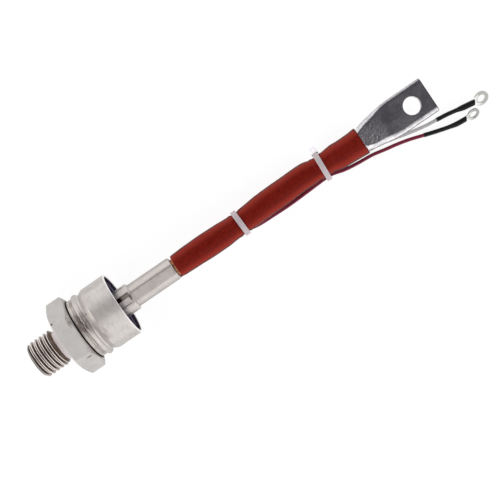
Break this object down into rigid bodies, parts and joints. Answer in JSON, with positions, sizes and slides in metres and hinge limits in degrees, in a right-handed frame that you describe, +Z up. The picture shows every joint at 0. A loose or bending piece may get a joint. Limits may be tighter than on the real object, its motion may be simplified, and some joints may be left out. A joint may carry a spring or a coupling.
{
  "type": "stud-mount triac",
  "caption": "Stud-mount power triac: hexagonal base with threaded stud, round welded can, crimped outlet and a sleeved power lead with flat lug, plus tied control wires.",
  "frame": {"origin": "centre of the hexagonal base's seating face, on the stud's axis", "axes": "+X along the stud's axis, from the seating face towards the lead; +Z up, square to the hex flat that the part lies on; +Y to the left when looking along +X with +Z up"},
  "size_m": [0.2702, 0.0457, 0.036],
  "materials": {
    "nickel_plate": "nickel-plated, satin",
    "collar_plate": "nickel-plated, satin, pressed",
    "seal_glass": "dark sealing glass, glossy",
    "copper": "bare copper",
    "molybdenum": "ground",
    "silicon": "polished",
    "white_insulator": "matte",
    "mica": "layered, silky",
    "washer_steel": "turned",
    "spring_steel": "oiled",
    "ceramic": "fired, matte",
    "silver": "silver-plated",
    "sleeve_red": "varnished braid, satin",
    "tinned_copper": "tinned, bright",
    "nylon": "milky, slightly translucent",
    "wire_white": "satin",
    "wire_red": "satin",
    "shrink_black": "satin"
  },
  "bodies": {
    "root": {"stud_base": "nickel_plate", "weld_ring": "nickel_plate", "can_shell": "nickel_plate", "outer_collar": "collar_plate", "crimp_tube": "collar_plate", "gate_tube": "collar_plate", "control_tube": "collar_plate", "seal_glass": "seal_glass", "contact_post": "copper", "lead_rope": "copper", "lower_disc": "molybdenum", "upper_disc": "molybdenum", "silicon_wafer": "silicon", "centring_ring": "white_insulator", "mica_washer": "mica", "thrust_washer": "washer_steel", "pressure_plate": "washer_steel", "spring_washer_1": "spring_steel", "spring_washer_2": "spring_steel", "spring_washer_3": "spring_steel", "lock_ring": "spring_steel", "gate_spring": "spring_steel", "stem_insulator": "ceramic", "gate_guide": "ceramic", "gate_pin": "silver", "gate_lead": "silver", "control_lead": "silver", "lead_sleeve": "sleeve_red", "terminal_lug": "tinned_copper", "gate_terminal": "tinned_copper", "control_terminal": "tinned_copper", "cable_tie_near": "nylon", "cable_tie_far": "nylon", "gate_wire": "wire_white", "control_wire": "wire_red", "gate_shrink": "shrink_black", "control_shrink": "shrink_black"}
  },
  "joints": []
}
